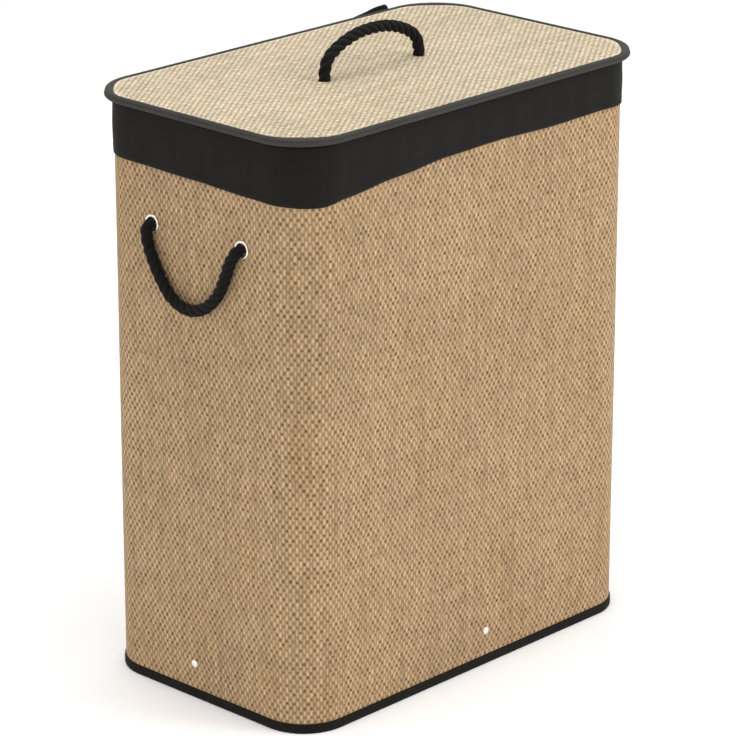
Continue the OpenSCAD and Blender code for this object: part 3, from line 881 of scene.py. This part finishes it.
def plate_rows(offset, columns, row_step, height):
    """Rows of points that fill the wall's outline, grown by an offset. height(x, y) gives z."""
    w, d, r = HALF_W + offset, HALF_D + offset, CORNER_R + offset
    bend = [d - r + r * math.sin(t) for t in np.linspace(math.pi / 2, 0, 12)]
    flat = list(np.linspace(d - r, -(d - r), max(3, int(2 * (d - r) / row_step)) + 1))
    ys = bend[:-1] + flat + [-y for y in bend[:-1][::-1]]
    rows, us, vs = [], [], []
    for y in ys:
        over = max(0.0, abs(y) - (d - r))
        half = w - r + math.sqrt(max(0.0, r * r - over * over))
        x = np.linspace(-half, half, columns)
        rows.append(np.column_stack([x, np.full(columns, y), height(x, y)]))
        us.append(np.full(columns, y))
        vs.append(x)
    return rows, np.array(us), np.array(vs)


def plate_piece(name, offset, height, thickness, material, columns=120, row_step=5 * MM):
    rows, u, v = plate_rows(offset, columns, row_step, height)
    piece = grid_mesh(name, rows, u, v, material)
    return thicken(piece, thickness)


def soft_wave(x, y, size, seed):
    """A gentle unevenness over a plate."""
    rng = np.random.default_rng(seed)
    out = np.zeros_like(np.asarray(x, float) + y)
    for _ in range(6):
        kx, ky, phase = rng.normal(0, 22), rng.normal(0, 22), rng.random() * TAU
        out = out + np.sin(kx * x + ky * y + phase)
    return out * size / 3


def make_liner_floor():
    """The bag's floor, a little rumpled on the base board."""
    low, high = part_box("liner_floor")
    middle = (low[2] + high[2]) / 2

    def height(x, y):
        return middle + 0.5 * MM + np.abs(soft_wave(x, y, 1.3 * MM, 5))

    inset = -16 * MM
    piece = plate_piece("liner_base", inset, height, 0.8 * MM, LINER_CLOTH)
    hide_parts("liner_floor")
    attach(piece, "hamper")


# ---------- lid ----------


def make_lid():
    low, high = LID_LOW[2], LID_HIGH[2]

    def top_height(x, y):
        edge = np.maximum(np.abs(x) / HALF_W, np.abs(y) / HALF_D)
        return high - 0.65 * MM + soft_wave(x, y, 0.16 * MM, 9) * (1 - smoothstep(edge, 0.95, 1.0))

    reach = LID_HIGH[0] - HALF_W
    top = plate_piece("lid_weave", reach, top_height, 1.05 * MM, STRAW_LID, 150, 4 * MM)
    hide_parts("lid_woven_top")
    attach(top, "lid")
    lining_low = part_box("lid_lining")[0][2]

    def lining_height(x, y):
        edge = np.maximum(np.abs(x) / HALF_W, np.abs(y) / HALF_D)
        return lining_low - 0.1 * MM + soft_wave(x, y, 0.35 * MM, 10) * (1 - smoothstep(edge, 0.85, 0.98))

    outset = 1.4 * MM
    lining = plate_piece("lid_lining_cloth", outset, lining_height, 0.5 * MM, LINER_CLOTH, 100, 6 * MM)
    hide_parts("lid_lining")
    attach(lining, "lid")


def make_rim():
    """Cloth drawn tight over the rim's wire: a rounded bead, with a lip over the woven top that widens at the
    corners and is puckered where it is sewn."""
    loop = Loop(3 * MM, 30)
    share = loop.along / loop.total
    top, low = RIM_HIGH[2], RIM_LOW[2]
    inner = (LID_HIGH[2] - top) / MM
    out = (RIM_HIGH[0] - HALF_W) / MM
    foot = (low - top) / MM
    lip = [(4.0, inner - 0.1), (4.05, inner + 0.45), (4.45, inner + 1.05), (5.2, inner + 1.45), (6.1, -0.1)]
    rolls = [(7.0, -0.5), (7.8, -1.3), (8.2, -2.3), (8.15, -3.1), (7.85, -3.6), (8.3, -4.0), (8.85, -4.7),
             (out, -5.5), (8.75, -6.5), (8.0, -7.4), (6.6, -8.2), (4.6, -8.6)]
    under = [(2.5, foot + 0.4), (-1.0, foot), (-2.5, foot + 0.4), (-2.5, foot + 2.4), (2.2, foot + 2.6),
             (2.2, inner - 1.3), (5.2, inner - 1.3), (5.2, inner - 0.1)]
    outline = lip + rolls + under
    pucker = ripple(share, (131, 149, 160), 31)
    waver = ripple(share, (7, 13, 19), 32)
    at_corner = (2 * loop.outs[:, 0] * loop.outs[:, 1]) ** 2
    rows, v, run = [], [], 0.0
    for i, (o, z) in enumerate(outline):
        sewn = 0.16 if i in (1, 2, 3) else 0.05
        inward = LIP_AT_CORNERS * (1.0, 1.0, 0.95, 0.6, 0.2)[i] * at_corner if i < len(lip) else 0
        rows.append(loop.row((o + 0.06 * waver) * MM - inward, top + (z + sewn * pucker * (0 < i < 14)) * MM))
        run += math.dist(outline[i - 1], (o, z)) if i else 0
        v.append(run * MM)
    piece = loft_round("lid_rim", loop, rows, v, RIM_CLOTH, close=True)
    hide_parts("lid_rim_binding")
    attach(piece, "lid")
    row = stitches_round("rim_stitches", loop, 7.85 * MM, top - 3.6 * MM, 3.2 * MM, 1.3 * MM, 0.25 * MM)
    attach(row, "lid")


# ---------- hinge straps ----------


def make_straps():
    """Two cloth straps behind the lid, from the wall up round the back of the rim. The right one stands
    proud."""
    low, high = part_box("hinge_straps_lower")
    half, middle, corner = 55 * MM, high[0] - 55 * MM, 7 * MM
    back, rim_top, rim_back = low[1] + 0.5 * MM, RIM_HIGH[2], RIM_HIGH[1]
    for side, word, proud in ((-1, "left", 0.0), (1, "right", 1.0)):
        bend = half - corner * (1 - np.sin(np.linspace(0, math.pi / 2, 9)))
        x = np.concatenate([-bend[::-1], np.linspace(-half + corner, half - corner, 41)[1:-1], bend])
        past = np.maximum(0, np.abs(x) - (half - corner))
        drop = corner - np.sqrt(np.maximum(0, corner**2 - past**2))
        swell = proud * smoothstep(x, -0.25 * half, 0.9 * half)
        crease = 0.4 * MM * np.sin(TAU * x / (26 * MM))
        route = [(back, low[2]), (back, low[2] + 12 * MM), (back + 0.2 * MM, low[2] + 24 * MM),
                 (back + 0.8 * MM, high[2] - 3 * MM), (rim_back - 1.5 * MM, RIM_LOW[2] - 1.0 * MM),
                 (rim_back + 0.9 * MM, RIM_LOW[2] + 2.5 * MM), (rim_back + 1.1 * MM, RIM_LOW[2] + 5.0 * MM),
                 (rim_back + 0.6 * MM, rim_top - 2.6 * MM)]
        puff = [0, 0, 0, 0.1, 0.3, 0.6, 0.85, 1.0]
        fine = spline([(p[0], p[1], 8 * MM * q) for p, q in zip(route, puff)], 1.5 * MM)
        run = distances(fine[:, :2])
        v = drop + (run[-1] - 2 * drop) * np.linspace(0, 1, 52)[:, None]
        y, z, p = (np.interp(v, run, fine[:, k]) for k in range(3))
        p /= 8 * MM
        across = np.broadcast_to(side * middle + x, v.shape)
        rows = np.dstack([across, y + p * (swell * 2.2 * MM + crease), z + p * swell * 6.0 * MM])
        piece = grid_mesh(f"{word}_strap", rows, x[None, :], v, STRAP_CLOTH)
        thicken(piece, 1.0 * MM)
        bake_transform(piece)
        if side < 0:
            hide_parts("hinge_straps_lower", "hinge_straps_upper")
        box = [(-49, 5), (49, 5), (49, 30), (-49, 30), (-49, 5), (49, 30), (49, 5), (-49, 30)]
        sewn_y = back + 0.55 * MM
        corners = [np.array([side * (middle + bx * MM), sewn_y, low[2] + bz * MM]) for bx, bz in box]
        threads = []
        for a, b in zip(corners[:-1], corners[1:]):
            line = np.array([a + (b - a) * t for t in np.linspace(0, 1, 12)])
            threads.append(stitch_row(line, np.tile([0, 1.0, 0], (12, 1)), 3.2 * MM, 1.2 * MM, 0.35 * MM))
        row = new_object(f"{word}_strap_stitches", *joined(threads), STRAP_THREAD)
        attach(row, "hamper")


# ---------- base ----------


def make_base_cloth():
    """The cloth under the base board."""
    low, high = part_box("base_cover")
    middle = (low[2] + high[2]) / 2

    def height(x, y):
        return middle - 0.1 * MM + soft_wave(x, y, 0.25 * MM, 15)

    inset = -3.65 * MM
    cover = plate_piece("base_cloth", inset, height, 0.5 * MM, BINDING_CLOTH, 90, 7 * MM)
    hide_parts("base_cover")
    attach(cover, "hamper")


def make_base_tabs():
    """The tabs that tie the base board to the walls."""
    tab_low, tab_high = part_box("base_tabs")
    leg, half, inner = tab_high[2] - tab_low[2], 20 * MM, 4.15 * MM
    turn = [(leg * 0.98, 0.5 * MM), (14 * MM, 0.5 * MM), (5 * MM, 0.55 * MM), (1.6 * MM, 1.2 * MM),
            (0.2 * MM, 3.4 * MM), (0.0, 9 * MM), (0.0, 22 * MM), (0.0, leg * 0.98)]
    fine = spline([(a, b, 0) for a, b in turn], 2 * MM)
    parts, uv = [], []
    for reach, out, shift in ((HALF_W, (1, 0), -RIVET_SHIFT_D), (HALF_W, (-1, 0), -RIVET_SHIFT_D),
                              (HALF_D, (0, 1), RIVET_SHIFT_W), (HALF_D, (0, -1), RIVET_SHIFT_W)):
        out, across = np.array([*out, 0.0]), np.array([-out[1], out[0], 0.0])
        n, points, faces, places = 9, [], [], []
        for away, up, _ in fine:
            for t in np.linspace(-1, 1, n):
                round_end = 1 - 0.12 * smoothstep(max(away, up), leg * 0.9, leg)
                side = shift + half * t * round_end
                lift = np.array([0, 0, tab_low[2] + up])
                points.append(out * (reach - inner - away) + across * side + lift)
                places.append((half * t, up - away))
        for i in range(len(fine) - 1):
            for k in range(n - 1):
                faces.append((i * n + k, i * n + k + 1, (i + 1) * n + k + 1, (i + 1) * n + k))
        parts.append((points, faces, [places[c] for face in faces for c in face]))
    tabs = thicken(new_object("tabs", *joined(parts), BINDING_CLOTH), 0.9 * MM)
    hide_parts("base_tabs")
    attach(tabs, "hamper")


def dress_cad():
    """Finishes for the CAD nodes that show as they are."""
    finishes = {
        "wall_board": BOARD, "base_board": BOARD, "lid_board": BOARD,
        "top_hoop": WIRE, "bottom_hoop": WIRE, "lid_rim_hoop": WIRE,
        "rivet_washers": WIRE, "eyelet_washers": WIRE, "lid_washers": WIRE,
        "top_binding": HIDDEN_CLOTH,
    }
    for node, material in finishes.items():
        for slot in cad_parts[node].material_slots:
            slot.material = material


make_woven_wall()
make_bottom_binding()
make_metal()
make_liner()
make_liner_floor()
make_lid()
make_rim()
make_straps()
make_base_cloth()
make_base_tabs()
dress_cad()


# ---------- floor and light ----------


def area_light(name, place, aim, size, power, colour=(1, 1, 1)):
    data = bpy.data.lights.new(name, "AREA")
    data.shape, data.size, data.energy, data.color = "DISK", size, power, colour
    light = bpy.data.objects.new(name, data)
    bpy.context.scene.collection.objects.link(light)
    light.location = place
    light.rotation_mode = "QUATERNION"
    light.rotation_quaternion = (Vector(aim) - Vector(place)).to_track_quat("-Z", "Y")


def make_stage():
    half = 12
    corners = [(-half, -half, 0), (half, -half, 0), (half, half, 0), (-half, half, 0)]
    floor = new_object("floor", corners, [(0, 1, 2, 3)])
    f = Finish("floor", roughness=0.9, specular=0.0)
    x, y, z = f.place()
    f.colour(f.scaled((0.93, 0.93, 0.93), f.noise(f.vector(x, y, z), 3.0) * 0.02 + 0.99))
    floor.data.materials.append(f.material)
    world = bpy.data.worlds.new("World")
    bpy.context.scene.world = world
    world.use_nodes = True
    world.node_tree.nodes["Background"].inputs[0].default_value = (1, 1, 1, 1)
    world.node_tree.nodes["Background"].inputs[1].default_value = 0.85
    area_light("key", (1.6, -2.4, 2.6), (0, 0, 0.35), 2.2, 62)
    area_light("top", (-0.2, 0.3, 3.2), (0, 0, 0.6), 2.0, 38)
    area_light("left", (-2.8, -0.6, 1.6), (0, 0, 0.3), 1.8, 12)
    bpy.context.scene.view_settings.view_transform = "Standard"


make_stage()
